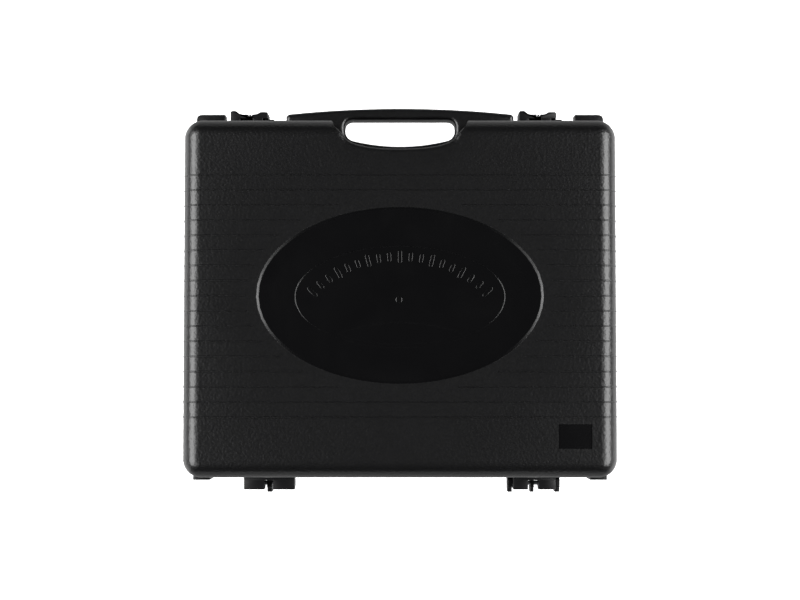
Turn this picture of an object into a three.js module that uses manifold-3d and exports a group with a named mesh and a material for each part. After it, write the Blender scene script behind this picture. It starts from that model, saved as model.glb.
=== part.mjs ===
// Portable gas stove in its carry case.
// Millimetres, +Z up. The closed case lies flat on its tray, the lid's face is up, the handle is towards +Y and the
// hinges are towards -Y. The origin is the middle of the footprint, on the ground.
import * as THREE from 'three';
import { mergeVertices } from 'three/addons/utils/BufferGeometryUtils.js';
import Module from 'manifold-3d';

const wasm = await Module();
wasm.setup();

// ---------- driving dimensions ----------
const gap = 0.3;                  // between pieces that touch

// case shells
const caseWidth = 377;            // X, at the parting plane
const caseDepth = 312;            // Y, at the parting plane
const wallX = caseWidth / 2;      // side walls
const wallY = caseDepth / 2;      // walls at the handle and at the hinges
const trayHeight = 58;
const lidHeight = 50;
const draft = 1;                  // how far each wall leans in over its height
const cornerRadius = 17;          // corners seen from above
const edgeRadius = 15;            // edge between a wall and the face
const caseWall = 3;
const cornerSteps = 4;
const edgeSteps = 4;

// lid face
const ribCount = 17;
const ribPitch = 13.03;
const ribTopY = wallY - 50.2;     // the rib nearest the handle
const ribWidth = 1.4;
const ribProud = 0.6;
const ovalHalfX = 123.4;
const ovalHalfY = 75.9;
const ovalCentreY = 2;
const ovalDepth = 1.4;
const ovalLean = 2;
const ovalMargin = 9;             // plain band between the oval and the rib ends
const plateWidth = 28.7;          // blank recess in the lid's corner
const plateHeight = 21;
const plateCentreX = wallX - 38.3;
const plateCentreY = -wallY + 36.9;
const plateDepth = 0.8;

// handle, half on each shell
const handleHalfLength = 101;
const handleTopY = wallY + 14;
const handleEndY = wallY + 8.8;
const handleHalfThickness = 12;
const gripHalfX = 49;
const gripTopY = wallY + 4;
const gripLowY = wallY - 20;
const gripLowEndY = wallY - 13;
const gripCorner = 7.5;
const notchTopHalfX = 57.4;
const notchLowHalfX = 47;
const notchLowY = wallY - 27;
const notchShoulderY = wallY - 18;

// rim on the handle side, with a window for each latch
const rimTopY = wallY + 8.8;
const rimThickness = 8;
const rimEndX = wallX - 7.5;
const rimRound = 5;
const windowOuterX = wallX - 33;
const windowInnerX = wallX - 87.5;
const railTopY = wallY + 4.9;
const railThickness = 6;
const railLip = 3;                // lip under the tray's rail, which the latch runs on
const railLipWidth = 2.5;

// sliding latches
const latchWidth = 33.3;
const latchLeftX = 4.8 - windowOuterX;    // -X end of each latch, unlocked
const latchRightX = windowInnerX + 4.7;
const latchTravel = 11;
const latchEarY = wallY + 12;
const latchInnerEarY = wallY + 11;
const latchWaistY = wallY + 8.9;
const latchWall = 3;
const hookWidth = 8.6;
const hookPitch = 20;

// hinges
const hingeAxisY = -wallY - 5.8;
const hingeAxisZ = trayHeight + gap / 2;
const pinRadius = 2;
const pinClearance = 0.3;
const knuckleRadius = 5.2;
const hingeLowY = -wallY - 14;    // tips of the plates beside the knuckles
const leafThickness = 2.4;
const lidLeafHeight = 14;
const strapRise = 9.4;            // from the parting to the lid's strap, so that it clears the plates when open
const trayLeafHeight = 16;
const footPadProud = 1.4;         // pads that the case stands on when it is upright
const footPadWidth = 19;
const footPadX = wallX - 18.5;

// stove inside, in its own frame: front towards -Y, right side towards +X, feet at z = 0
const stoveSideRoom = 17.5;       // from the stove to the case's inside
const stoveBackRoom = 6.5;
const stoveFrontRoom = 4.5;
const stoveLength = caseWidth - 2 * (caseWall + stoveSideRoom);
const stoveDepth = notchLowY + wallY - 2 * caseWall - stoveFrontRoom - stoveBackRoom;
const stoveShiftY = (notchLowY - wallY - stoveFrontRoom + stoveBackRoom) / 2;   // its middle in the case
const rightX = stoveLength / 2;
const frontWallY = -stoveDepth / 2;
const sheet = 1.2;
const footHeight = 6;
const footRadius = 9;
const footStemRadius = 3;
const footInset = 24;
const floorTop = footHeight + gap + sheet;
const baseTop = 61;
const stoveCorner = 12;
const plateRight = rightX - 89;   // right edge of the top plate
const dishRadius = 104;
const dishFloorRadius = 88;
const dishFloorZ = baseTop - 10.5;
const burnerHoleRadius = 56;
const burnerX = (-stoveLength / 2 + plateRight) / 2;
const burnerRadius = 43;
const burnerTop = 63.5;
const supportRingInner = 100;
const supportRingOuter = 110;
const supportArmInner = 60;
const supportArmCount = 4;
const supportBar = 3;
const cartridgeX = rightX - 44;
const cartridgeRadius = 33;
const cartridgeZ = floorTop + 5.5 + cartridgeRadius;
const cradleClearance = 1.2;
const cowlBack = frontWallY + 60; // back edge of the fixed cowl over the valve
const hoodTop = cartridgeZ + cartridgeRadius + 1;
const coverFront = cowlBack + 3.6;
const coverBack = -frontWallY - 6;
const coverAxisX = rightX - 3.8;
const coverAxisZ = baseTop + 2.6;
const coverRodRadius = 1.2;
const coverEar = 2;
const knobX = rightX - 51;
const knobZ = 38;
const knobRadius = 20;
const knobDepth = 12;
const shaftRadius = 3;
const leverX = rightX - 19;
const leverZ = 44;                // middle of the lever when it is up
const leverTravel = 14;
const tubeRadius = 9;
const tubeY = frontWallY + 39;    // where the tube meets the valve
const tubeZ = 30;
const valveFront = frontWallY + 22;
const valveBack = frontWallY + 50;
const screwHeadRadius = 3.4;
const screwShankRadius = 1.6;
const screwHeadHeight = 2;

// worked out
const parting = trayHeight;
const lidOpen = trayHeight + gap;
const caseTop = trayHeight + gap + lidHeight;
const beyond = 40;                // how far a cutter runs past what it cuts
const degrees = Math.PI / 180;

// ---------- solids ----------
const vector = (x, y, z) => new THREE.Vector3(x, y, z);

function solid(geometry) {
  const plain = geometry.clone();
  plain.deleteAttribute('normal');
  plain.deleteAttribute('uv');
  const merged = mergeVertices(plain, 1e-4);
  return new wasm.Manifold(new wasm.Mesh({
    numProp: 3,
    vertProperties: new Float32Array(merged.attributes.position.array),
    triVerts: new Uint32Array(merged.index.array),
  }));
}

function geometryOf(body) {
  const mesh = body.getMesh();
  const geometry = new THREE.BufferGeometry();
  geometry.setAttribute('position', new THREE.BufferAttribute(new Float32Array(mesh.vertProperties), 3));
  geometry.setIndex(new THREE.BufferAttribute(new Uint32Array(mesh.triVerts), 1));
  geometry.computeVertexNormals();
  return geometry;
}

const join = (...bodies) => bodies.reduce((whole, body) => whole.add(body));
const cut = (body, ...tools) => tools.reduce((whole, tool) => whole.subtract(tool), body);

// a block between two corners, given as [low, high] along each axis
function block([x0, x1], [y0, y1], [z0, z1]) {
  const box = new THREE.BoxGeometry(x1 - x0, y1 - y0, z1 - z0);
  return solid(box.translate((x0 + x1) / 2, (y0 + y1) / 2, (z0 + z1) / 2));
}

// a round bar along one axis, between two places on it
function bar(axis, radius, [from, to], [a, b], sides = 20) {
  const rod = new THREE.CylinderGeometry(radius, radius, to - from, sides).translate(0, (from + to) / 2, 0);
  if (axis === 'x') rod.rotateZ(-Math.PI / 2).translate(0, a, b);
  if (axis === 'y') rod.translate(a, 0, b);
  if (axis === 'z') rod.rotateX(Math.PI / 2).translate(a, b, 0);
  return solid(rod);
}

// an outline in X and Y, pulled up from z0 to z1
function slab(shape, [z0, z1], curveSegments = 8) {
  const options = { depth: z1 - z0, bevelEnabled: false, curveSegments };
  return solid(new THREE.ExtrudeGeometry(shape, options).translate(0, 0, z0));
}

// an outline in X and Z, pulled along Y
function slabAlongY(shape, [y0, y1], curveSegments = 6) {
  const options = { depth: y1 - y0, bevelEnabled: false, curveSegments };
  return solid(new THREE.ExtrudeGeometry(shape, options).rotateX(Math.PI / 2).translate(0, y1, 0));
}

// an outline in Y and Z, pulled along X
function slabAlongX(shape, [x0, x1]) {
  const options = { depth: x1 - x0, bevelEnabled: false, curveSegments: 6 };
  const body = new THREE.ExtrudeGeometry(shape, options);
  return solid(body.rotateX(Math.PI / 2).rotateZ(Math.PI / 2).translate(x0, 0, 0));
}

const outline = (points) => new THREE.Shape(points.map(([x, y]) => new THREE.Vector2(x, y)));

// a turned piece, from points [radius, z]
function turned(points, x = 0, y = 0, sides = 32) {
  const profile = points.map(([radius, z]) => new THREE.Vector2(radius, z));
  return solid(new THREE.LatheGeometry(profile, sides).rotateX(Math.PI / 2).translate(x, y, 0));
}

// a rounded rectangle seen from above, counterclockwise
function ring(halfX, halfY, radius, z, steps = cornerSteps) {
  const points = [];
  [[1, 1], [-1, 1], [-1, -1], [1, -1]].forEach(([sideX, sideY], corner) => {
    for (let step = 0; step <= steps; step += 1) {
      const angle = (corner + step / steps) * 90 * degrees;
      const x = sideX * (halfX - radius) + radius * Math.cos(angle);
      const y = sideY * (halfY - radius) + radius * Math.sin(angle);
      points.push(vector(x, y, z));
    }
  });
  return points;
}

function ellipseRing(halfX, halfY, centreY, z, steps = 48) {
  const angles = Array.from({ length: steps }, (_, step) => (step / steps) * 2 * Math.PI);
  return angles.map((angle) => vector(halfX * Math.cos(angle), centreY + halfY * Math.sin(angle), z));
}

// a closed skin over rings of equal length, listed upwards
function loft(rings) {
  const count = rings[0].length;
  const positions = rings.flat().flatMap((point) => point.toArray());
  const triangles = [];
  for (let level = 0; level < rings.length - 1; level += 1) {
    for (let i = 0; i < count; i += 1) {
      const a = level * count + i;
      const b = level * count + ((i + 1) % count);
      triangles.push(a, b, b + count, a, b + count, a + count);
    }
  }
  [rings[0], rings.at(-1)].forEach((end, which) => {
    const centre = end.reduce((sum, point) => sum.add(point), vector(0, 0, 0)).divideScalar(count);
    const hub = positions.length / 3;
    positions.push(...centre.toArray());
    const first = which ? (rings.length - 1) * count : 0;
    for (let i = 0; i < count; i += 1) {
      const edge = [first + i, first + ((i + 1) % count)];
      triangles.push(hub, ...(which ? edge : edge.reverse()));
    }
  });
  const geometry = new THREE.BufferGeometry();
  geometry.setAttribute('position', new THREE.Float32BufferAttribute(positions, 3));
  geometry.setIndex(triangles);
  return solid(geometry);
}

// ---------- materials ----------
const material = (color, roughness, metalness = 0) => (
  new THREE.MeshStandardMaterial({ color, roughness, metalness }));
const blackPlastic = material(0x17181a, 0.6);
const latchPlastic = material(0x0f1011, 0.45);
const steel = material(0xb9bcc0, 0.35, 1);
const enamel = material(0x1c1d1f, 0.3);
const paintedSteel = material(0x2a2c30, 0.4, 0.3);
const castAluminium = material(0xa9abad, 0.5, 1);
const brass = material(0xc29b4a, 0.35, 1);
const rubber = material(0x1a1a1a, 0.85);
const ceramic = material(0xe8e4da, 0.4);
const redCable = material(0x8f2a22, 0.6);

const stove = new THREE.Group();
const outfit = new THREE.Group();

function add(group, name, body, look) {
  const mesh = new THREE.Mesh(geometryOf(body), look);
  mesh.name = name;
  group.add(mesh);
}

// ---------- case shells ----------
// the solid inside one shell's outer skin, moved in by inset; open is the parting plane and face the flat side
function shellBody(open, face, inset, overrun = 0) {
  const up = Math.sign(face - open);
  const halfX = wallX - inset;
  const halfY = wallY - inset;
  const corner = cornerRadius - inset;
  const edge = edgeRadius - inset;
  const flat = face - up * inset;
  const rings = [ring(halfX, halfY, corner, open - up * overrun)];
  for (let step = 0; step <= edgeSteps; step += 1) {
    const angle = (step / edgeSteps) * 90 * degrees;
    const pull = draft + edge * (1 - Math.cos(angle));
    const z = flat - up * edge * (1 - Math.sin(angle));
    rings.push(ring(halfX - pull, halfY - pull, corner - pull, z));
  }
  return loft(up > 0 ? rings : rings.reverse());
}

// the hollow around the handle, seen from above
function notchShape(grow) {
  const high = wallY + beyond;
  const top = notchTopHalfX + grow;
  const low = notchLowHalfX + grow;
  const shape = new THREE.Shape();
  shape.moveTo(top + 4, high);
  shape.lineTo(-top - 4, high);
  shape.lineTo(-top, wallY - 3.5);
  shape.quadraticCurveTo(-low - 3, notchShoulderY + 5, -low, notchShoulderY - grow);
  shape.quadraticCurveTo(-low * 0.8, notchLowY - grow, 0, notchLowY - grow);
  shape.quadraticCurveTo(low * 0.8, notchLowY - grow, low, notchShoulderY - grow);
  shape.quadraticCurveTo(low + 3, notchShoulderY + 5, top, wallY - 3.5);
  return shape;
}

// the hole for the fingers, seen from above
function gripShape() {
  const shape = new THREE.Shape();
  const lowCorner = gripHalfX - gripCorner;
  shape.moveTo(lowCorner, gripTopY);
  shape.lineTo(-lowCorner, gripTopY);
  shape.quadraticCurveTo(-gripHalfX, gripTopY, -gripHalfX, gripTopY - gripCorner);
  shape.quadraticCurveTo(-gripHalfX, gripLowEndY, -lowCorner, gripLowEndY - 2);
  shape.quadraticCurveTo(-lowCorner * 0.5, gripLowY, 0, gripLowY);
  shape.quadraticCurveTo(lowCorner * 0.5, gripLowY, lowCorner, gripLowEndY - 2);
  shape.quadraticCurveTo(gripHalfX, gripLowEndY, gripHalfX, gripTopY - gripCorner);
  shape.quadraticCurveTo(gripHalfX, gripTopY, lowCorner, gripTopY);
  return shape;
}

// the handle's band and its root in the notch, seen from above
function handleShape() {
  const shape = new THREE.Shape();
  const root = wallY - caseWall;
  shape.moveTo(handleHalfLength, root);
  shape.lineTo(handleHalfLength, handleEndY - 2);
  shape.lineTo(handleHalfLength - 2, handleEndY);
  shape.quadraticCurveTo(handleHalfLength * 0.5, handleTopY, 0, handleTopY);
  shape.quadraticCurveTo(-handleHalfLength * 0.5, handleTopY, -handleHalfLength + 2, handleEndY);
  shape.lineTo(-handleHalfLength, handleEndY - 2);
  shape.lineTo(-handleHalfLength, root);
  shape.lineTo(-notchTopHalfX - 2, root);
  shape.lineTo(-notchLowHalfX - 2, notchLowY - 2);
  shape.lineTo(notchLowHalfX + 2, notchLowY - 2);
  shape.lineTo(notchTopHalfX + 2, root);
  return shape;
}

const span = (a, b) => [Math.min(a, b), Math.max(a, b)];

// one shell with its half of the handle and of the rim
function caseShell(open, face) {
  const up = Math.sign(face - open);
  const wide = span(open - up * beyond, face + up * beyond);
  const hollow = cut(shellBody(open, face, caseWall, beyond), slab(notchShape(caseWall), wide));
  const handle = slab(handleShape(), span(open, open + up * handleHalfThickness));
  const root = wallY - caseWall;
  const rims = [-1, 1].map((side) => {
    const rim = outline([[side * windowOuterX, root], [side * windowOuterX, rimTopY],
      [side * (rimEndX - rimRound), rimTopY], [side * rimEndX, rimTopY - rimRound], [side * rimEndX, root - 12],
      [side * (rimEndX - 9), root - 2]]);
    return slab(rim, span(open, open + up * rimThickness));
  });
  const pads = [-1, 1].map((side) => block(
    span(side * (footPadX - footPadWidth / 2), side * (footPadX + footPadWidth / 2) - side * 4),
    [-wallY - footPadProud, -wallY + caseWall], span(open + up * 1, open + up * (lidHeight - edgeRadius - 4))));
  const body = join(shellBody(open, face, 0), ...rims, ...pads);
  return cut(join(cut(body, slab(notchShape(0), wide)), handle), hollow, slab(gripShape(), wide));
}

// ---------- lid ----------
function lidRibs() {
  const faceHalfX = wallX - draft - edgeRadius;
  const plainHalfX = ovalHalfX + ovalMargin;
  const plainHalfY = ovalHalfY + ovalMargin;
  return Array.from({ length: ribCount }, (_, row) => ribTopY - row * ribPitch).flatMap((y) => {
    const side = [y - ribWidth / 2, y + ribWidth / 2];
    const height = [caseTop - 1, caseTop + ribProud];
    const share = 1 - ((y - ovalCentreY) / plainHalfY) ** 2;
    if (share <= 0) return [block([-faceHalfX, faceHalfX], side, height)];
    const start = plainHalfX * Math.sqrt(share);
    return [block([-faceHalfX, -start], side, height), block([start, faceHalfX], side, height)];
  });
}

// lugs that the latches' hooks close over
function latchLugs(latchX) {
  return [0, 1].map((which) => {
    const x = latchX + which * hookPitch + latchTravel - 1;
    return block([x, x + hookWidth], [wallY - caseWall, railTopY], [lidOpen, lidOpen + railThickness]);
  });
}

function lidShell() {
  const oval = loft([
    ellipseRing(ovalHalfX - ovalLean, ovalHalfY - ovalLean, ovalCentreY, caseTop - ovalDepth),
    ellipseRing(ovalHalfX, ovalHalfY, ovalCentreY, caseTop),
    ellipseRing(ovalHalfX, ovalHalfY, ovalCentreY, caseTop + 1),
  ]);
  const ovalBacking = loft([caseTop - caseWall - ovalDepth, caseTop - ovalDepth - 1].map((z) => (
    ellipseRing(ovalHalfX + 1, ovalHalfY + 1, ovalCentreY, z))));
  const plate = block([plateCentreX - plateWidth / 2, plateCentreX + plateWidth / 2],
    [plateCentreY - plateHeight / 2, plateCentreY + plateHeight / 2], [caseTop - plateDepth, caseTop + 1]);
  const shell = join(caseShell(lidOpen, caseTop), ovalBacking, ...lidRibs(),
    ...latchLugs(latchLeftX), ...latchLugs(latchRightX));
  return cut(shell, oval, plate);
}

// ---------- tray ----------
// blocks on the tray's walls that keep the stove in place
function cradleBlocks() {
  const height = [caseWall - 1, 30];
  const halfX = wallX - 1.5;
  const stoveHalfX = stoveLength / 2 + gap;
  const stoveBackY = stoveShiftY - stoveDepth / 2 - gap;
  const stoveFrontY = stoveShiftY + stoveDepth / 2 + gap;
  const blocks = [];
  for (const side of [-1, 1]) {
    for (const y of [-90, 60]) {
      blocks.push(block(span(side * stoveHalfX, side * (halfX - 1)), [y - 4, y + 4], height));
    }
    blocks.push(block([side * 100 - 4, side * 100 + 4], [-wallY + 2.5, stoveBackY], height));
    blocks.push(block([side * 80 - 4, side * 80 + 4], [stoveFrontY, wallY - 2.5], height));
  }
  return blocks;
}

function latchRail(x0, x1) {
  const root = wallY - caseWall;
  const low = parting - railThickness;
  const section = outline([[root, parting], [root, low], [railTopY - railLipWidth, low],
    [railTopY - railLipWidth, low - railLip], [railTopY, low - railLip], [railTopY, parting]]);
  return slabAlongX(section, [x0, x1]);
}

function trayShell() {
  const blocks = join(...cradleBlocks()).intersect(shellBody(parting, 0, caseWall / 2));
  return join(caseShell(parting, 0), blocks,
    latchRail(-windowOuterX - 1, -windowInnerX + 1), latchRail(windowInnerX - 1, windowOuterX + 1));
}

// ---------- latches ----------
// a saddle for the thumb, running on the tray's rail, with two hooks for the lid
function latch(x) {
  const inner = railTopY + gap;
  const low = parting - railThickness - railLip - gap - latchWall;
  const high = lidOpen + railThickness + gap + latchWall;
  const saddle = new THREE.Shape();
  saddle.moveTo(x, inner);
  saddle.lineTo(x + latchWidth, inner);
  saddle.lineTo(x + latchWidth, latchInnerEarY - 1);
  saddle.lineTo(x + latchWidth - 1, latchInnerEarY);
  saddle.lineTo(x + latchWidth - 7, latchInnerEarY);
  saddle.quadraticCurveTo(x + latchWidth - 9, latchWaistY, x + latchWidth - 13, latchWaistY);
  saddle.lineTo(x + 11, latchWaistY);
  saddle.quadraticCurveTo(x + 8, latchWaistY, x + 5, latchEarY);
  saddle.lineTo(x + 1, latchEarY);
  saddle.lineTo(x, latchEarY - 1);
  const tongueY = railTopY - railLipWidth - gap;
  const jaw = outline([[inner + 1, low], [inner + 1, low + latchWall], [tongueY, low + latchWall],
    [tongueY, low + latchWall + railLip], [tongueY - 1.8, low + latchWall + railLip], [tongueY - 1.8, low]]);
  const hooks = [0, 1].map((which) => block(
    [x + which * hookPitch, x + which * hookPitch + hookWidth], [wallY + 1.4, inner + 1], [high - latchWall, high]));
  return join(slab(saddle, [low, high], 4), slabAlongX(jaw, [x, x + latchWidth]), ...hooks);
}

// ---------- hinges ----------
const pinBore = () => bar('x', pinRadius + pinClearance, [-caseWidth, caseWidth], [hingeAxisY, hingeAxisZ], 16);

// knuckles on a strap against the lid's wall
function lidLeaf(knuckles) {
  const strapY = -wallY - gap;
  const x0 = Math.min(...knuckles.flat());
  const x1 = Math.max(...knuckles.flat());
  const low = lidOpen + strapRise;
  const strap = block([x0, x1], [strapY - leafThickness, strapY], [low, lidOpen + lidLeafHeight]);
  const blocks = knuckles.map(([from, to]) => join(
    bar('x', knuckleRadius, [from, to], [hingeAxisY, hingeAxisZ], 16),
    block([from, to], [hingeAxisY - knuckleRadius, strapY], [hingeAxisZ, lidOpen + lidLeafHeight - 1])));
  return cut(join(strap, ...blocks), pinBore());
}

// plates that hold the pin's ends on the tray
function trayLeaf(plates, [x0, x1]) {
  const strapY = -wallY - gap;
  const low = parting - trayLeafHeight;
  const strap = block([x0, x1], [strapY - leafThickness, strapY], [low, parting - knuckleRadius - 1.3]);
  const side = outline([[strapY, low], [hingeLowY + 3, low], [hingeLowY, low + 4], [hingeLowY, parting - gap],
    [hingeAxisY - knuckleRadius + 0.4, parting - gap], [hingeAxisY - knuckleRadius + 0.4, hingeAxisZ],
    [hingeAxisY - 3.6, hingeAxisZ + 3.6], [hingeAxisY + 3.6, hingeAxisZ + 3.6],
    [hingeAxisY + knuckleRadius - 0.4, hingeAxisZ], [strapY, parting - 4]]);
  return cut(join(strap, ...plates.map((plate) => slabAlongX(side, plate))), pinBore());
}

const hinges = {
  hinge_left: {
    knuckles: [[-137, -119.2], [-111.4, -92.6]],
    plates: [[-117.6, -113.2]],
    strap: [-117.6, -113.2],
  },
  hinge_right: {
    knuckles: [[99.6, 112.4], [121.8, 136.4]],
    plates: [[95.2, 99.2], [115.2, 118.4], [136.8, 141.2]],
    strap: [95.2, 141.2],
  },
};

add(outfit, 'tray_shell', trayShell(), blackPlastic);
add(outfit, 'lid_shell', lidShell(), blackPlastic);
add(outfit, 'latch_left', latch(latchLeftX), latchPlastic);
add(outfit, 'latch_right', latch(latchRightX), latchPlastic);
for (const [name, { knuckles, plates, strap }] of Object.entries(hinges)) {
  const xs = [...knuckles, ...plates].flat();
  const pinEnds = [Math.min(...xs) + 0.5, Math.max(...xs) - 0.5];
  add(outfit, `${name}_lid_leaf`, lidLeaf(knuckles), latchPlastic);
  add(outfit, `${name}_tray_leaf`, trayLeaf(plates, strap), latchPlastic);
  add(outfit, `${name}_pin`, bar('x', pinRadius, pinEnds, [hingeAxisY, hingeAxisZ], 16), steel);
}

// ---------- stove casing ----------
const footPlaces = [[-1, -1], [1, -1], [-1, 1], [1, 1]].map(([sideX, sideY]) => [
  sideX * (stoveLength / 2 - footInset), sideY * (stoveDepth / 2 - footInset)]);
const plateScrewPlaces = [[-stoveLength / 2 + 12, -1], [plateRight - 12, -1], [-stoveLength / 2 + 12, 1],
  [plateRight - 12, 1]].map(([x, side]) => [x, side * (stoveDepth / 2 - 12)]);
const burnerScrewPlaces = [-44, 44].map((offset) => [burnerX + offset, 0]);

function stoveBase() {
  const [halfX, halfY] = [stoveLength / 2, stoveDepth / 2];
  const outer = loft([footHeight + gap, baseTop].map((z) => ring(halfX, halfY, stoveCorner, z, 3)));
  const inner = loft([floorTop, baseTop + beyond].map((z) => (
    ring(halfX - sheet, halfY - sheet, stoveCorner - sheet, z, 3))));
  const tabs = plateScrewPlaces.map(([x, y]) => block(
    [x - 7, x + 7], span(y - Math.sign(y) * 7, Math.sign(y) * (halfY - sheet / 2)), [baseTop - sheet, baseTop]));
  const lowered = block([plateRight + 8, halfX + beyond], [cowlBack + gap, halfY + beyond],
    [baseTop - 1.5, baseTop + beyond]);
  const ears = [[coverFront - 0.8 - coverEar, coverFront - 0.8], [coverBack + 0.8, coverBack + 0.8 + coverEar]]
    .map((y) => block([coverAxisX - 3, halfX - sheet / 2], y, [baseTop - 14, coverAxisZ + 3]));
  const shell = join(cut(outer, inner, lowered), ...tabs, ...ears);
  return cut(shell,
    ...footPlaces.map(([x, y]) => bar('z', footStemRadius + gap, [0, floorTop + 1], [x, y], 12)),
    ...plateScrewPlaces.map(([x, y]) => bar('z', screwShankRadius + gap, [baseTop - 8, baseTop + 8], [x, y], 10)),
    ...burnerScrewPlaces.map(([x, y]) => bar('z', screwShankRadius + gap, [0, floorTop + 1], [x, y], 10)),
    bar('y', shaftRadius + 1, [frontWallY - 5, frontWallY + 5], [knobX, knobZ], 14),
    block([leverX - 2.6, leverX + 2.6], [frontWallY - 5, frontWallY + 5],
      [leverZ - leverTravel - 3.6, leverZ + 3.6]),
    bar('y', coverRodRadius + gap, [coverFront - 8, coverBack + 4], [coverAxisX, coverAxisZ], 12));
}

function topPlate() {
  const halfX = (plateRight + stoveLength / 2) / 2;
  const z = [baseTop + gap, baseTop + gap + sheet];
  const sheetPlate = loft(z.map((level) => ring(halfX, stoveDepth / 2, stoveCorner, level, 3)))
    .translate([burnerX, 0, 0]);
  const dish = turned([[burnerHoleRadius, dishFloorZ], [dishFloorRadius, dishFloorZ], [dishRadius - 0.4, z[0]],
    [dishRadius + 1, z[0]], [dishRadius + 1, z[1]], [dishRadius - 1, z[1]],
    [dishFloorRadius - 0.7, dishFloorZ + sheet],
    [burnerHoleRadius, dishFloorZ + sheet], [burnerHoleRadius, dishFloorZ]], burnerX, 0, 40);
  const holes = plateScrewPlaces.map(([x, y]) => (
    bar('z', screwShankRadius + gap, [baseTop - 8, baseTop + 8], [x, y], 10)));
  return cut(join(cut(sheetPlate, bar('z', dishRadius, [0, 99], [burnerX, 0], 40)), dish), ...holes);
}

// turned over for storage, so that its arms reach down into the dish
function panSupport() {
  const low = baseTop + gap + sheet + gap;
  const supportRing = turned([[supportRingInner, low], [supportRingOuter, low], [supportRingOuter, low + supportBar],
    [supportRingInner, low + supportBar], [supportRingInner, low]], burnerX, 0, 36);
  const armLow = dishFloorZ + sheet + 1;
  const arms = Array.from({ length: supportArmCount }, (_, which) => {
    const side = outline([[supportArmInner, low + supportBar - 4], [supportArmInner, armLow],
      [supportArmInner + 14, armLow], [supportRingInner - 9, low - 3], [supportRingInner - 4, low],
      [supportRingOuter - 2, low], [supportRingOuter - 2, low + supportBar],
      [supportArmInner + 4, low + supportBar]]);
    const arm = slabAlongY(side, [-supportBar / 2, supportBar / 2]);
    return arm.rotate([0, 0, 45 + which * 360 / supportArmCount]).translate([burnerX, 0, 0]);
  });
  return join(supportRing, ...arms);
}

function partition() {
  const tubeWay = bar('x', tubeRadius + 3, [plateRight - 5, plateRight + 5], [tubeY + 3, tubeZ], 16);
  const leadWay = bar('x', 3, [plateRight - 5, plateRight + 5], [frontWallY + 18, 40], 10);
  const wall = block([plateRight - sheet, plateRight], [frontWallY + sheet + gap, -frontWallY - sheet - gap],
    [floorTop + gap, baseTop - sheet - gap]);
  return cut(wall, tubeWay, leadWay);
}

// the raised cover over the cartridge side: its outline in X and Z, moved in by inset
function hoodShape(inset, low) {
  const left = plateRight + gap + 0.8 + inset;
  const right = stoveLength / 2 - inset;
  const top = hoodTop - inset;
  const shape = new THREE.Shape();
  shape.moveTo(left, low);
  shape.lineTo(left, baseTop + 5);
  shape.quadraticCurveTo(left + 1, top, left + 16, top);
  shape.lineTo(right - 18, top);
  shape.quadraticCurveTo(right - 2, top, right - 1, baseTop + 5);
  shape.lineTo(right, baseTop + 0.8);
  shape.lineTo(right, low);
  return shape;
}

function hood([y0, y1], low) {
  return cut(slabAlongY(hoodShape(0, low), [y0, y1], 5),
    slabAlongY(hoodShape(sheet, low - beyond), [y0 + sheet, y1 - sheet], 5));
}

function cartridgeCover() {
  const low = baseTop + 0.8;
  const bore = bar('y', coverRodRadius + gap, [coverFront - 5, coverBack + 5], [coverAxisX, coverAxisZ], 12);
  const lipY = [coverBack * 0.3 - 12, coverBack * 0.3 + 12];
  const lip = block([plateRight + gap + 0.4, plateRight + gap + 1.6], lipY, [low + 2, low + 7]);
  return cut(join(hood([coverFront, coverBack], low), lip), bore);
}

add(stove, 'stove_base', stoveBase(), paintedSteel);
add(stove, 'top_plate', topPlate(), enamel);
add(stove, 'pan_support', panSupport(), enamel);
add(stove, 'partition', partition(), steel);
add(stove, 'valve_cowl', hood([frontWallY, cowlBack], baseTop + gap), paintedSteel);
add(stove, 'cartridge_cover', cartridgeCover(), paintedSteel);
add(stove, 'cover_hinge_rod',
  bar('y', coverRodRadius, [coverFront - 3, coverBack + 3], [coverAxisX, coverAxisZ], 10), steel);

footPlaces.forEach(([x, y], index) => {
  const profile = [[0, 0], [footRadius - 1.5, 0], [footRadius, 1.5], [footRadius, footHeight],
    [footStemRadius, footHeight], [footStemRadius, floorTop + 1.5], [0, floorTop + 1.5]];
  add(stove, `rubber_foot_${index + 1}`, turned(profile, x, y, 16), rubber);
});

function screw(x, y, seat, length) {
  return turned([[0, seat - length], [screwShankRadius, seat - length], [screwShankRadius, seat],
    [screwHeadRadius, seat], [screwHeadRadius - 0.8, seat + screwHeadHeight], [0, seat + screwHeadHeight]], x, y, 10);
}

plateScrewPlaces.forEach(([x, y], index) => {
  add(stove, `plate_screw_${index + 1}`, screw(x, y, baseTop + gap + sheet + gap, 6), steel);
});

// ---------- burner ----------
const bracketTop = 18;
function burnerBracket() {
  const [low, reach] = [floorTop + gap, 34];
  const top = block([burnerX - reach, burnerX + reach], [-9, 9], [bracketTop - sheet, bracketTop]);
  const parts = [-1, 1].flatMap((side) => [
    block(span(burnerX + side * reach, burnerX + side * (reach - sheet)), [-9, 9], [low, bracketTop]),
    block(span(burnerX + side * reach - side * sheet, burnerX + side * 52), [-9, 9], [low, low + sheet])]);
  return cut(join(top, ...parts),
    ...burnerScrewPlaces.map(([x, y]) => bar('z', screwShankRadius + gap, [0, floorTop + 5], [x, y], 10)));
}

const tubePath = new THREE.CatmullRomCurve3([
  vector(burnerX + 20.5, -6, tubeZ), vector(burnerX + 60, -34, tubeZ), vector(burnerX + 100, tubeY + 19, tubeZ),
  vector(plateRight, tubeY + 3, tubeZ), vector(cartridgeX - 29, tubeY, tubeZ)]);

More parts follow.
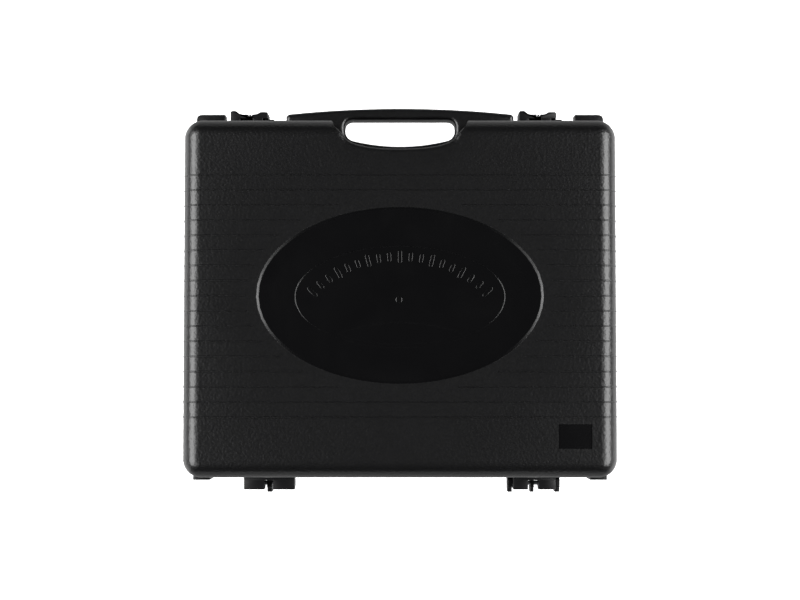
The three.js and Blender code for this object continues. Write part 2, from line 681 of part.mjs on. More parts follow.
function mixingTube() {
  const circle = new THREE.Shape().absarc(0, 0, tubeRadius, 0, 2 * Math.PI);
  const hole = new THREE.Path().absarc(0, 0, tubeRadius - 1.5, 0, 2 * Math.PI, true);
  circle.holes.push(hole);
  return solid(new THREE.ExtrudeGeometry(circle, { steps: 14, curveSegments: 5, extrudePath: tubePath }));
}

function burnerHead() {
  const bowl = turned([[0, bracketTop + gap], [19, bracketTop + gap], [19, 38], [36, 45], [burnerRadius, 47],
    [burnerRadius, 54],
    [burnerRadius - 4, 54], [burnerRadius - 4, 50], [33, 48], [16, 40], [16, 22], [0, 22]], burnerX, 0, 32);
  const start = tubePath.getPoint(0);
  const along = tubePath.getTangent(0);
  const port = new THREE.CylinderGeometry(tubeRadius + 0.6, tubeRadius + 0.6, 24, 14).rotateZ(-Math.PI / 2)
    .rotateZ(Math.atan2(along.y, along.x)).translate(start.x, start.y, start.z);
  return cut(bowl, solid(port));
}

add(stove, 'burner_bracket', burnerBracket(), steel);
add(stove, 'burner_head', burnerHead(), castAluminium);
add(stove, 'burner_cap', turned([[0, 57], [burnerRadius - 8, 57], [burnerRadius - 8, 54 + gap],
  [burnerRadius - 1, 54 + gap], [burnerRadius, 57], [burnerRadius - 3, 62], [26, burnerTop], [0, burnerTop]],
  burnerX, 0, 32), brass);
add(stove, 'mixing_tube', mixingTube(), steel);
burnerScrewPlaces.forEach(([x, y], index) => {
  add(stove, `burner_screw_${index + 1}`, screw(x, y, floorTop + gap + sheet + gap, 4), steel);
});

// ---------- gas valve, lever and knob ----------
function regulator() {
  return join(
    block([cartridgeX - 17, cartridgeX + 17], [valveFront, valveBack], [tubeZ - 6, cartridgeZ + 12]),
    turned([[0, 11], [12, 11], [12, 14], [14, 15], [14, 20], [10, 22], [0, 22]]
      .map(([radius, rise]) => [radius, cartridgeZ + rise]), cartridgeX, (valveFront + valveBack) / 2, 24),
    bar('x', 5, [cartridgeX - 27, cartridgeX - 16], [tubeY, tubeZ], 14),
    bar('y', 9, [valveBack - 1, valveBack + 6], [cartridgeX, cartridgeZ], 16),
    bar('y', 2.5, [valveBack + 5, valveBack + 10], [cartridgeX, cartridgeZ], 10));
}

function cartridgeCollar() {
  const bodyRing = cut(bar('y', 15, [valveBack + gap, valveBack + 8], [cartridgeX, cartridgeZ], 24),
    bar('y', 9 + gap, [valveBack - 6, valveBack + 14], [cartridgeX, cartridgeZ], 24));
  return cut(bodyRing, block([cartridgeX - 2.5, cartridgeX + 2.5], [valveBack + 5, valveBack + 14],
    [cartridgeZ + 10, cartridgeZ + 20]));
}

function controlKnob() {
  const [back, front] = [frontWallY - 0.6, frontWallY - 0.6 - knobDepth];
  const skirt = bar('y', knobRadius, [back - 4, back], [knobX, knobZ], 28);
  const grip = bar('y', knobRadius - 4, [front, back - 3.5], [knobX, knobZ], 28);
  const flats = [-1, 1].map((side) => block(
    span(knobX + side * 6.5, knobX + side * 30), [front - 1, back - 5], [knobZ - 30, knobZ + 30]));
  return cut(join(skirt, cut(grip, ...flats)), bar('y', shaftRadius + gap, [back - 8, back + 1], [knobX, knobZ], 14));
}

// its pad is outside the front panel, its plate inside, and the neck between them runs in the slot
function cartridgeLever() {
  const wallOut = frontWallY - 0.5;
  const wallIn = frontWallY + sheet + 0.5;
  return join(
    block([leverX - 6, leverX + 6], [wallOut - 3, wallOut], [leverZ - 6, leverZ + 6]),
    block([leverX - 6, leverX + 6], [wallOut - 8, wallOut - 2], [leverZ + 1, leverZ + 6]),
    block([leverX - 2, leverX + 2], [wallOut - 1, wallIn + 1], [leverZ - 3, leverZ + 3]),
    block([leverX - 5, leverX + 5], [wallIn, wallIn + 2], [leverZ - 8, leverZ + 8]));
}

function cartridgeCradle() {
  const [low, front, back] = [floorTop + gap, valveBack + 24, -frontWallY - 36];
  const bed = block([cartridgeX - 30, cartridgeX + 30], [front, back], [low, low + sheet]);
  const saddles = [front + 16, back - 14].map((y) => (
    block([cartridgeX - 30, cartridgeX + 30], [y, y + 3], [low, low + 12])));
  return cut(join(bed, ...saddles),
    bar('y', cartridgeRadius + cradleClearance, [front - 10, back + 9], [cartridgeX, cartridgeZ], 32));
}

add(stove, 'gas_regulator', regulator(), castAluminium);
add(stove, 'cartridge_collar', cartridgeCollar(), brass);
add(stove, 'knob_shaft', bar('y', shaftRadius, [frontWallY - 8, valveFront - gap], [knobX, knobZ], 14), steel);
add(stove, 'control_knob', controlKnob(), latchPlastic);
add(stove, 'cartridge_lever', cartridgeLever(), latchPlastic);
add(stove, 'cartridge_cradle', cartridgeCradle(), steel);

// ---------- ignition ----------
const electrodeX = burnerX + 36;
const electrodeY = -34;
const leadPath = new THREE.CatmullRomCurve3([
  vector(plateRight + 9.7, frontWallY + 18, 40), vector(plateRight - 9, frontWallY + 17, 39),
  vector(burnerX + 79.5, frontWallY + 34, 26), vector(burnerX + 52.5, -62, 20),
  vector(electrodeX + 2, electrodeY - 8, 22), vector(electrodeX, electrodeY, 33)]);
const leadSection = new THREE.Shape().absarc(0, 0, 1.4, 0, 2 * Math.PI);
add(stove, 'piezo_igniter', join(
  block([plateRight + 10, plateRight + 24], [frontWallY + 4, frontWallY + 26], [32, 48]),
  bar('y', 4, [frontWallY + 25, frontWallY + 29], [plateRight + 17, 42], 12)), latchPlastic);
add(stove, 'ignition_electrode', turned([[0, 34.5], [3, 34.5], [3, 55], [0.9, 56], [0.9, 65], [0, 65]],
  electrodeX, electrodeY, 12), ceramic);
add(stove, 'ignition_lead', solid(new THREE.ExtrudeGeometry(leadSection,
  { steps: 26, curveSegments: 4, extrudePath: leadPath })), redCable);

stove.rotation.z = Math.PI;
stove.position.set(0, stoveShiftY, caseWall + gap);
outfit.add(stove);

export default outfit;
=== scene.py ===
# A portable gas stove in its black moulded carry case. The closed case lies on its tray with the lid's face
# up, the handle towards +Y and the hinges towards -Y.
import math

import bmesh
import bpy
from mathutils import Matrix, Vector


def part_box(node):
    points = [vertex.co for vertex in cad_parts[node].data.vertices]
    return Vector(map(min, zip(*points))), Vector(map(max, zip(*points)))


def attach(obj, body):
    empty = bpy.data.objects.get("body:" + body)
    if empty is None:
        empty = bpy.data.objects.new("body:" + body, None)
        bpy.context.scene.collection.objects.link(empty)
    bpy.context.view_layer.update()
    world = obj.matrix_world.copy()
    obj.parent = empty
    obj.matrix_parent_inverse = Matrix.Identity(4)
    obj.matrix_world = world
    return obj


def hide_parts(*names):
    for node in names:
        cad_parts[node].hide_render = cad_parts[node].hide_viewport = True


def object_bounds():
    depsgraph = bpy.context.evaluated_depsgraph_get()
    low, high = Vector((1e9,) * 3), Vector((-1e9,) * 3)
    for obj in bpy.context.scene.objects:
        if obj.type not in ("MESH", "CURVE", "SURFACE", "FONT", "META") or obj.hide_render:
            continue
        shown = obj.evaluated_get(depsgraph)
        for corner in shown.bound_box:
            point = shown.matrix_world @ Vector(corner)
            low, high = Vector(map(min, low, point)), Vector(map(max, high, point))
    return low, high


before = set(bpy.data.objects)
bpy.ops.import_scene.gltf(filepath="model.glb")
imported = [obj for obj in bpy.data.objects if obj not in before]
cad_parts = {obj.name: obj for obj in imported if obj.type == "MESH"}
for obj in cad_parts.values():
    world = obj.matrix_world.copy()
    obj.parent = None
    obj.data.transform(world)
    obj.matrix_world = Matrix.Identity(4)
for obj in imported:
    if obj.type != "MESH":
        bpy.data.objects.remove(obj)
cad_low, cad_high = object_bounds()
mm = 0.001

# ---------- camera, floor and light ----------
# The camera hangs over the lid, a little nearer the hinges than the handle, so the handle's far wall just
# shows. Broad lights at both sides draw a bright line along each round edge.
camera_height = 1.37
camera_y = -63.9 * mm
camera_lens = 71.9

camera_data = bpy.data.cameras.new("camera")
camera_data.lens = camera_lens
camera = bpy.data.objects.new("camera", camera_data)
bpy.context.collection.objects.link(camera)
camera.location = (0, camera_y, cad_high.z + camera_height)
looking_at = Vector((0, -2.2 * mm, cad_high.z))
camera.rotation_euler = (looking_at - camera.location).to_track_quat("-Z", "Y").to_euler()
bpy.context.scene.camera = camera
bpy.context.scene.view_settings.view_transform = "Standard"


def node_material(name):
    """A new material, with its node tree and its Principled node."""
    material = bpy.data.materials.new(name)
    material.use_nodes = True
    return material, material.node_tree, material.node_tree.nodes["Principled BSDF"]


def link(tree, output, target):
    tree.links.new(output, target)


floor_material, tree, shader = node_material("painted_glow_floor")
shader.inputs["Roughness"].default_value = 0.9
shader.inputs["Emission Color"].default_value = (1, 1, 1, 1)
# painted light: the floor glows evenly white towards the camera, but towards the case it glows brightly at
# the sides and is darker in front of and behind the case, so that only its sides mirror a bright sweep
floor_glow, floor_dim, floor_diagonal = 0.62, 0.19, 1.15
floor_place = tree.nodes.new("ShaderNodeTexCoord")
floor_axes = tree.nodes.new("ShaderNodeSeparateXYZ")
link(tree, floor_place.outputs["Object"], floor_axes.inputs[0])
across, along, beside, glow = (tree.nodes.new("ShaderNodeMath") for _ in range(4))
across.operation = along.operation = "ABSOLUTE"
beside.operation = "MULTIPLY_ADD"
beside.inputs[1].default_value = -floor_diagonal
glow.operation = "MAXIMUM"
link(tree, floor_axes.outputs["X"], across.inputs[0])
link(tree, floor_axes.outputs["Y"], along.inputs[0])
link(tree, along.outputs[0], beside.inputs[0])
link(tree, across.outputs[0], beside.inputs[2])
fade = tree.nodes.new("ShaderNodeMapRange")
fade.interpolation_type = "SMOOTHSTEP"
for label, value in (("From Min", -0.04), ("From Max", 0.06), ("To Min", floor_dim), ("To Max", floor_glow)):
    fade.inputs[label].default_value = value
link(tree, beside.outputs[0], fade.inputs["Value"])
seen = tree.nodes.new("ShaderNodeLightPath")
link(tree, fade.outputs[0], glow.inputs[0])
link(tree, seen.outputs["Is Camera Ray"], glow.inputs[1])
# painted light: this glow sets both the floor's emission and its colour
link(tree, glow.outputs[0], shader.inputs["Emission Strength"])
link(tree, glow.outputs[0], shader.inputs["Base Color"])
floor_size = 12
bpy.ops.mesh.primitive_plane_add(size=floor_size, location=(0, 0, cad_low.z - 0.3 * mm))
floor = bpy.context.object
floor.name = "floor"
floor.data.materials.append(floor_material)

world = bpy.data.worlds.new("studio")
bpy.context.scene.world = world
world.use_nodes = True
world.node_tree.nodes["Background"].inputs["Color"].default_value = (1, 1, 1, 1)
world.node_tree.nodes["Background"].inputs["Strength"].default_value = 0.03


def softbox(name, place, size, power):
    """A rectangular light that faces the middle of the case."""
    light = bpy.data.lights.new(name, "AREA")
    light.shape = "RECTANGLE"
    light.size, light.size_y = size
    light.energy = power
    box = bpy.data.objects.new(name, light)
    bpy.context.collection.objects.link(box)
    box.location = place
    box.rotation_euler = (Vector((0, 0, 0.05)) - box.location).to_track_quat("-Z", "Y").to_euler()


for side in (-1, 1):
    softbox(f"side_{side}", (side * 1.3, 0, 1.02), (1.9, 0.95), 52)
    softbox(f"high_{side}", (side * 0.8, 0, 1.45), (1.9, 0.4), 2.2)
softbox("handle_end", (0, 1.7, 0.20), (1.6, 0.2), 0.8)
softbox("hinge_end", (0, -1.7, 0.20), (1.6, 0.2), 1.2)

# ---------- case shells ----------
# Tray and lid are blow-moulded from black polyethylene with a pebbled grain. Each wall leans in a little
# towards the flat face and turns into it over a round edge.
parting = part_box("tray_shell")[1].z
lid_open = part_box("lid_shell")[0].z
rib_proud = 0.6 * mm
case_top = cad_high.z - rib_proud
half_x = cad_high.x
half_y = 156 * mm
draft = 1 * mm
edge_radius = 15 * mm
corner_radius = 17 * mm
wall = 3 * mm
corner_steps, side_steps_x, side_steps_y, edge_steps = 14, 26, 20, 12


def ring(hx, hy, radius, z):
    """A rounded rectangle seen from above, counterclockwise, always with the same number of points."""
    points = []
    corners = [(1, 1, 0), (-1, 1, 90), (-1, -1, 180), (1, -1, 270)]
    for which, (sx, sy, start) in enumerate(corners):
        centre = Vector((sx * (hx - radius), sy * (hy - radius), z))
        for step in range(corner_steps + 1):
            angle = math.radians(start + 90 * step / corner_steps)
            points.append(centre + radius * Vector((math.cos(angle), math.sin(angle), 0)))
        nx, ny, after = corners[(which + 1) % 4]
        turn = math.radians(after)
        target = Vector((nx * (hx - radius), ny * (hy - radius), z))
        target += radius * Vector((math.cos(turn), math.sin(turn), 0))
        steps = side_steps_x if which % 2 == 0 else side_steps_y
        points += [points[-1].lerp(target, step / steps) for step in range(1, steps)]
    return points


def shell_rings(opening, face, inset, overrun=0.0):
    """Rings of one shell from its opening to its flat face, moved in by inset."""
    up = math.copysign(1, face - opening)
    hx, hy = half_x - inset, half_y - inset
    corner, edge = corner_radius - inset, edge_radius - inset
    flat = face - up * inset
    rings = [ring(hx, hy, corner, opening - up * overrun)]
    for step in range(edge_steps + 1):
        angle = math.radians(90 * step / edge_steps)
        pull = draft + edge * (1 - math.cos(angle))
        rings.append(ring(hx - pull, hy - pull, corner - pull, flat - up * edge * (1 - math.sin(angle))))
    return rings


def new_object(name, mesh):
    piece = bpy.data.objects.new(name, mesh)
    bpy.context.collection.objects.link(piece)
    return piece


def lofted(name, rings):
    """A closed mesh over a list of rings, with a flat cap at each end."""
    bm = bmesh.new()
    levels = [[bm.verts.new(point) for point in level] for level in rings]
    count = len(levels[0])
    for low, high in zip(levels, levels[1:]):
        for i in range(count):
            bm.faces.new((low[i], low[(i + 1) % count], high[(i + 1) % count], high[i]))
    bm.faces.new(levels[0])
    bm.faces.new(levels[-1])
    bmesh.ops.recalc_face_normals(bm, faces=bm.faces)
    mesh = bpy.data.meshes.new(name)
    bm.to_mesh(mesh)
    bm.free()
    return new_object(name, mesh)


def baked(piece):
    """Turns the piece's modifiers into plain mesh."""
    view = bpy.context.evaluated_depsgraph_get()
    mesh = bpy.data.meshes.new_from_object(piece.evaluated_get(view))
    piece.modifiers.clear()
    piece.data = mesh
    return piece


def combined(piece, tool, operation="DIFFERENCE"):
    """Cuts or joins the piece with a tool, which is used up."""
    modifier = piece.modifiers.new("combine", "BOOLEAN")
    modifier.operation = operation
    modifier.solver = "EXACT"
    modifier.object = tool
    baked(piece)
    bpy.data.objects.remove(tool)
    return piece


def slab(name, outline, z0, z1):
    """A closed solid with one outline from z0 to z1."""
    low, high = sorted((z0, z1))
    return lofted(name, [[Vector((x, y, z)) for x, y in outline] for z in (low, high)])


def curve_points(start, control, end, steps=8):
    """Points after start on a quadratic curve to end."""
    points = []
    for step in range(1, steps + 1):
        t = step / steps
        points.append(tuple((1 - t) ** 2 * a + 2 * t * (1 - t) * b + t * t * c
                            for a, b, c in zip(start, control, end)))
    return points


def softened(piece, width, segments=3, angle=35):
    """Rounds the piece's sharp edges and shades it smooth."""
    bevel = piece.modifiers.new("soft_edges", "BEVEL")
    bevel.width = width
    bevel.segments = segments
    bevel.limit_method = "ANGLE"
    bevel.angle_limit = math.radians(angle)
    bevel.use_clamp_overlap = True
    bevel.harden_normals = False
    baked(piece)
    return smoothed(piece)


def smoothed(piece, angle=40):
    """Shades the piece smooth, but keeps the level faces and the sharp edges crisp."""
    level = [abs(face.normal.z) < 0.9995 for face in piece.data.polygons]
    piece.data.polygons.foreach_set("use_smooth", level)
    piece.data.set_sharp_from_angle(angle=math.radians(angle))
    return piece


# the hollow for the hand, seen from above, and the finger hole in the handle
notch_top_x, notch_low_x, notch_low_y, notch_shoulder_y = 57.4 * mm, 47 * mm, 129 * mm, 138 * mm
notch_corner, notch_edge = 7 * mm, 3.5 * mm
grip_x, grip_top_y, grip_low_y, grip_low_end_y, grip_corner = 49 * mm, 160 * mm, 136 * mm, 143 * mm, 7.5 * mm


def notch_outline(grow):
    high = half_y + 40 * mm
    top, low = notch_top_x + grow, notch_low_x + grow
    shoulder = (low, notch_shoulder_y - grow)
    edge = (top, half_y - notch_corner)
    lip = (top + notch_corner, half_y + 1 * mm)
    bottom = (0, notch_low_y - grow)
    right = [(top + 4 * notch_corner, high), lip]
    right += curve_points(lip, (top + 0.6 * mm, half_y - 0.3 * mm), edge, 6)
    right += curve_points(edge, (low + 3 * mm, notch_shoulder_y + 5 * mm), shoulder)
    right += curve_points(shoulder, (low * 0.8, bottom[1]), bottom, 14)
    return right + [(-x, y) for x, y in reversed(right[:-1])]


def grip_outline():
    low_corner = grip_x - grip_corner
    top = (low_corner, grip_top_y)
    side = (grip_x, grip_top_y - grip_corner)
    foot = (low_corner, grip_low_end_y - 2 * mm)
    right = [top] + curve_points(top, (grip_x, grip_top_y), side)
    right += curve_points(side, (grip_x, grip_low_end_y), foot)
    right += curve_points(foot, (low_corner * 0.5, grip_low_y), (0, grip_low_y), 12)
    return right + [(-x, y) for x, y in reversed(right[:-1])]


def notch_cutter(opening, face):
    """The hollow for the hand as a solid that flares towards the flat face, to leave a round edge."""
    up = math.copysign(1, face - opening)
    levels = [(opening - up * 50 * mm, 0)]
    for step in range(5):
        angle = math.radians(90 * step / 4)
        levels.append((face - up * notch_edge * (1 - math.sin(angle)), notch_edge * (1 - math.cos(angle))))
    levels.append((face + up * 50 * mm, notch_edge * 1.01))
    return lofted("notch", [[Vector((x, y, z)) for x, y in notch_outline(grow)] for z, grow in levels])


def hollow(opening, face):
    inner = lofted("hollow", shell_rings(opening, face, wall, 30 * mm))
    return combined(inner, slab("way", notch_outline(wall), opening - 0.2, face + 0.2))


# pebbled polyethylene: fine leather-like grain, cells of about a millimetre and a half
def pebbled(name, colour, roughness, grain_depth):
    material, tree, shader = node_material(name)
    nodes = tree.nodes
    place = nodes.new("ShaderNodeTexCoord")
    cells = nodes.new("ShaderNodeTexVoronoi")
    cells.feature = "SMOOTH_F1"
    cells.inputs["Scale"].default_value = 430
    cells.inputs["Randomness"].default_value = 1.0
    fine = nodes.new("ShaderNodeTexNoise")
    fine.inputs["Scale"].default_value = 900
    fine.inputs["Detail"].default_value = 4
    wide = nodes.new("ShaderNodeTexNoise")
    wide.inputs["Scale"].default_value = 28
    wide.inputs["Detail"].default_value = 3
    for texture in (cells, fine, wide):
        link(tree, place.outputs["Object"], texture.inputs["Vector"])
    height = nodes.new("ShaderNodeMath")
    height.operation = "MULTIPLY_ADD"
    height.inputs[1].default_value = 0.6
    link(tree, fine.outputs["Fac"], height.inputs[0])
    link(tree, cells.outputs["Distance"], height.inputs[2])
    bump = nodes.new("ShaderNodeBump")
    bump.inputs["Strength"].default_value = 0.75
    bump.inputs["Distance"].default_value = grain_depth
    link(tree, height.outputs[0], bump.inputs["Height"])
    link(tree, bump.outputs[0], shader.inputs["Normal"])
    tint = nodes.new("ShaderNodeValToRGB")
    tint.color_ramp.elements[0].color = (*(c * 0.75 for c in colour), 1)
    tint.color_ramp.elements[1].color = (*(c * 1.3 for c in colour), 1)
    link(tree, wide.outputs["Fac"], tint.inputs["Fac"])
    link(tree, tint.outputs["Color"], shader.inputs["Base Color"])
    gloss = nodes.new("ShaderNodeMapRange")
    gloss.inputs["To Min"].default_value = roughness - 0.06
    gloss.inputs["To Max"].default_value = roughness + 0.08
    link(tree, fine.outputs["Fac"], gloss.inputs["Value"])
    link(tree, gloss.outputs[0], shader.inputs["Roughness"])
    return material


case_grain = pebbled("case_grain", (0.0016, 0.0016, 0.0018), 0.3, 0.22 * mm)


def smooth_plastic(name, colour, roughness):
    """Black plastic from a polished mould, with faint flow marks."""
    material, tree, shader = node_material(name)
    place = tree.nodes.new("ShaderNodeTexCoord")
    marks = tree.nodes.new("ShaderNodeTexNoise")
    marks.inputs["Scale"].default_value = 16
    marks.inputs["Detail"].default_value = 5
    marks.inputs["Distortion"].default_value = 1.2
    link(tree, place.outputs["Object"], marks.inputs["Vector"])
    gloss = tree.nodes.new("ShaderNodeMapRange")
    gloss.inputs["To Min"].default_value = roughness - 0.05
    gloss.inputs["To Max"].default_value = roughness + 0.07
    link(tree, marks.outputs["Fac"], gloss.inputs["Value"])
    link(tree, gloss.outputs[0], shader.inputs["Roughness"])
    bump = tree.nodes.new("ShaderNodeBump")
    bump.inputs["Strength"].default_value = 0.25
    bump.inputs["Distance"].default_value = 0.25 * mm
    link(tree, marks.outputs["Fac"], bump.inputs["Height"])
    link(tree, bump.outputs[0], shader.inputs["Normal"])
    shader.inputs["Base Color"].default_value = (*colour, 1)
    return material


oval_gloss = smooth_plastic("oval_gloss", (0.0016, 0.0016, 0.0018), 0.17)

# the oval on the lid: a polished dish, a little deeper in its middle
oval_x, oval_y, oval_centre, oval_depth, oval_lean = 123.4 * mm, 75.9 * mm, 2 * mm, 1.4 * mm, 1.6 * mm
oval_rings = 10


def oval_ring(hx, hy, z, like):
    """An ellipse with one point for each point of the ring it continues."""
    points = []
    for point in like:
        angle = math.atan2((point.y - oval_centre) / oval_y, point.x / oval_x)
        points.append(Vector((hx * math.cos(angle), oval_centre + hy * math.sin(angle), z)))
    return points


def lid_skin():
    rings = shell_rings(lid_open, case_top, 0)
    rim = rings[-1]
    rings.append([point * 0.999 + Vector((0, 0, case_top * 0.001)) for point in rim])
    rings.append(oval_ring(oval_x + 0.6 * mm, oval_y + 0.6 * mm, case_top, rim))
    rings.append(oval_ring(oval_x, oval_y, case_top - 0.15 * mm, rim))
    rings.append(oval_ring(oval_x - oval_lean, oval_y - oval_lean, case_top - oval_depth + 0.15 * mm, rim))
    for step in range(oval_rings):
        share = 1 - step / oval_rings
        across, along = (half - oval_lean - 0.8 * mm for half in (oval_x, oval_y))
        rings.append(oval_ring(across * share, along * share, case_top - oval_depth, rim))
    return lofted("lid_shell_moulded", rings)


lid = lid_skin()
combined(lid, notch_cutter(lid_open, case_top))
combined(lid, hollow(lid_open, case_top - oval_depth))
plate_x, plate_y = 150.2 * mm, -119.1 * mm
plate_half_x, plate_half_y, plate_depth = 14.35 * mm, 10.5 * mm, 0.8 * mm
plate_corners = ((1, 1), (-1, 1), (-1, -1), (1, -1))
plate = [(plate_x + sx * plate_half_x, plate_y + sy * plate_half_y) for sx, sy in plate_corners]
softened(lid, 0.5 * mm)
combined(lid, slab("plate", plate, case_top - plate_depth, case_top + 5 * mm))
smoothed(lid)

lid.data.materials.append(case_grain)
lid.data.materials.append(oval_gloss)


def gloss_inside(piece):
    """Gives the polished finish to the faces of the oval and of the small plate."""
    for face in piece.data.polygons:
        x, y, z = face.center
        in_oval = (x / oval_x) ** 2 + ((y - oval_centre) / oval_y) ** 2 < 0.999
        in_plate = abs(x - plate_x) < plate_half_x and abs(y - plate_y) < plate_half_y
        if z > case_top - 2.5 * mm and (in_oval or in_plate):
            face.material_index = 1


gloss_inside(lid)
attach(lid, "lid")
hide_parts("lid_shell")

tray = lofted("tray_shell_moulded", shell_rings(parting, 0, 0)[::-1])
combined(tray, notch_cutter(parting, 0))
combined(tray, hollow(parting, 0))
softened(tray, 0.5 * mm)
tray.data.materials.append(case_grain)
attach(tray, "tray")
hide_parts("tray_shell")


# ---------- handle and rim ----------
# Each shell carries half of the handle's band and of the rim on either side of the latches, moulded in one
# with it.
handle_half_length, handle_top_y, handle_end_y = 101 * mm, 170 * mm, 164.8 * mm
handle_thickness, handle_round = 24.3 * mm, 3.6 * mm
rim_top_y, rim_end_x, rim_round, rim_thickness = 164.8 * mm, 181 * mm, 5 * mm, 8 * mm
window_outer_x, window_inner_x = 155.5 * mm, 101 * mm
root_y = half_y - wall


def rounded_plate(name, outlines, z0, z1, radius, steps=4):
    """A plate with rounded rims. The first outline is its outside and the others are holes in it."""
    flat = bpy.data.curves.new(name, "CURVE")
    flat.dimensions = "2D"
    flat.fill_mode = "BOTH"
    for outline in outlines:
        spline = flat.splines.new("POLY")
        spline.points.add(len(outline) - 1)
        for point, (x, y) in zip(spline.points, outline):
            point.co = (x, y, 0, 1)
        spline.use_cyclic_u = True
    flat.extrude = (z1 - z0) / 2 - radius
    flat.bevel_depth = radius
    flat.bevel_resolution = steps
    flat.offset = -radius
    drawn = new_object(name, flat)
    view = bpy.context.evaluated_depsgraph_get()
    mesh = bpy.data.meshes.new_from_object(drawn.evaluated_get(view))
    bpy.data.objects.remove(drawn)
    mesh.transform(Matrix.Translation((0, 0, (z0 + z1) / 2)))
    bm = bmesh.new()
    bm.from_mesh(mesh)
    bmesh.ops.remove_doubles(bm, verts=bm.verts, dist=0.005 * mm)
    bmesh.ops.recalc_face_normals(bm, faces=bm.faces)
    bm.to_mesh(mesh)
    bm.free()
    return new_object(name, mesh)


def handle_outline():
    end = (handle_half_length - 2 * mm, handle_end_y)
    right = [(notch_low_x + 2.5 * mm, notch_low_y - 2.5 * mm), (notch_top_x + 2.5 * mm, root_y),
             (handle_half_length, root_y), (handle_half_length, handle_end_y - 2 * mm), end]
    right += curve_points(end, (handle_half_length * 0.5, handle_top_y), (0, handle_top_y), 20)
    return right + [(-x, y) for x, y in reversed(right[:-1])]


def box_between(name, low, high):
    outline = [(low[0], low[1]), (high[0], low[1]), (high[0], high[1]), (low[0], high[1])]
    return slab(name, outline, low[2], high[2])


def moulded(piece, body, finish, angle=40):
    """Shades a finished piece and ties it to its body."""
    smoothed(piece, angle)
    piece.data.materials.clear()
    piece.data.materials.append(finish)
    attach(piece, body)
    return piece


handle_middle = (parting + lid_open) / 2
for body, keep_low, keep_high in (("tray", -0.1, parting), ("lid", lid_open, 0.3)):
    half = rounded_plate(f"{body}_handle", [handle_outline(), grip_outline()],
                         handle_middle - handle_thickness / 2, handle_middle + handle_thickness / 2,
                         handle_round)
    combined(half, box_between("keep", (-0.3, 0, keep_low), (0.3, 0.3, keep_high)), "INTERSECT")
    moulded(half, body, case_grain)
    low, high = (parting - rim_thickness, parting) if body == "tray" else (lid_open, lid_open + rim_thickness)
    for side, word in ((-1, "left"), (1, "right")):
        rim = [(side * window_outer_x, root_y - 3 * mm), (side * window_outer_x, rim_top_y),
               (side * (rim_end_x - rim_round), rim_top_y)]
        rim += curve_points(rim[-1], (side * rim_end_x, rim_top_y),
                            (side * rim_end_x, rim_top_y - rim_round), 6)
        rim += [(side * rim_end_x, root_y - 9 * mm), (side * (rim_end_x - 10 * mm), root_y - 3 * mm)]
        piece = rounded_plate(f"{body}_rim_{word}", [rim if side < 0 else rim[::-1]], low, high, 0.8 * mm)
        moulded(piece, body, case_grain)

# ---------- foot pads and cradle blocks ----------
# Low pads on the hinge wall carry the case when it stands upright. Blocks inside the tray hold the stove in
# place.
pad_proud, pad_out_x, pad_in_x = 1.4 * mm, 179.5 * mm, 164.5 * mm
pad_reach = 31 * mm
block_half, block_low, block_high = 4 * mm, wall - 0.5 * mm, 30 * mm
side_block_y, back_block_x, front_block_x = (-90 * mm, 60 * mm), 100 * mm, 80 * mm
wall_overlap = 0.5 * mm           # how far a block reaches into the wall it stands on
stove_low, stove_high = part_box("stove_base")
stove_gap = 0.3 * mm


def soft_block(name, body, low, high, width, inside_tray=False):
    """A rounded block. One inside the tray is trimmed to the tray's wall, so nothing shows outside."""
    low, high = [min(pair) for pair in zip(low, high)], [max(pair) for pair in zip(low, high)]
    piece = box_between(name, low, high)
    softened(piece, width)
    if inside_tray:
        combined(piece, lofted("trim", shell_rings(parting, 0, wall / 2)[::-1]), "INTERSECT")
    return moulded(piece, body, case_grain)


def cradle_block(name, low, high):
    return soft_block(name, "tray", (*low, block_low), (*high, block_high), 1 * mm, True)


for side, word in ((-1, "left"), (1, "right")):
    for body, opening, up in (("tray", parting, -1), ("lid", lid_open, 1)):
        soft_block(f"{body}_foot_pad_{word}", body,
                   (side * pad_in_x, -half_y - pad_proud, opening + up * 1 * mm),
                   (side * pad_out_x, -half_y + wall - wall_overlap, opening + up * pad_reach), 0.6 * mm)
    for index, y in enumerate(side_block_y):
        cradle_block(f"cradle_side_{word}_{index + 1}", (side * (stove_high.x + stove_gap), y - block_half),
                     (side * (half_x - wall + wall_overlap), y + block_half))
    cradle_block(f"cradle_back_{word}", (side * back_block_x - block_half, -half_y + wall - wall_overlap),
                 (side * back_block_x + block_half, stove_low.y - stove_gap))
    cradle_block(f"cradle_front_{word}", (side * front_block_x - block_half, stove_high.y + stove_gap),
                 (side * front_block_x + block_half, half_y - wall + wall_overlap))

# ---------- latch rails and lugs ----------
# A lipped rail on the tray carries each latch, and the lid has two lugs in each window for the latch's
# hooks. Rails and lugs are moulded in one with their shells, from the same polyethylene.
rail_top_y, rail_thickness, rail_lip, rail_lip_width = 160.9 * mm, 6 * mm, 3 * mm, 2.5 * mm
hook_width, hook_pitch, lug_gap = 8.6 * mm, 20 * mm, 1.4 * mm

for side, word, latch_low_x in ((-1, "left", -150.7 * mm), (1, "right", 105.7 * mm)):
    x0, x1 = sorted((side * (window_inner_x - 1 * mm), side * (window_outer_x + 1 * mm)))
    rail = box_between(f"latch_rail_{word}", (x0, root_y, parting - rail_thickness),
                       (x1, rail_top_y, parting))
    lip = box_between("lip", (x0, rail_top_y - rail_lip_width, parting - rail_thickness - rail_lip),
                      (x1, rail_top_y, parting - rail_thickness + 1 * mm))
    combined(rail, lip, "UNION")
    softened(rail, 0.4 * mm)
    moulded(rail, "tray", case_grain)
    for which in range(2):
        x = latch_low_x + which * hook_pitch + hook_width + lug_gap
        lug = box_between(f"latch_lug_{word}_{which + 1}", (x, root_y, lid_open),
                          (x + hook_width, rail_top_y, lid_open + rail_thickness))
        softened(lug, 0.5 * mm)
        moulded(lug, "lid", case_grain)

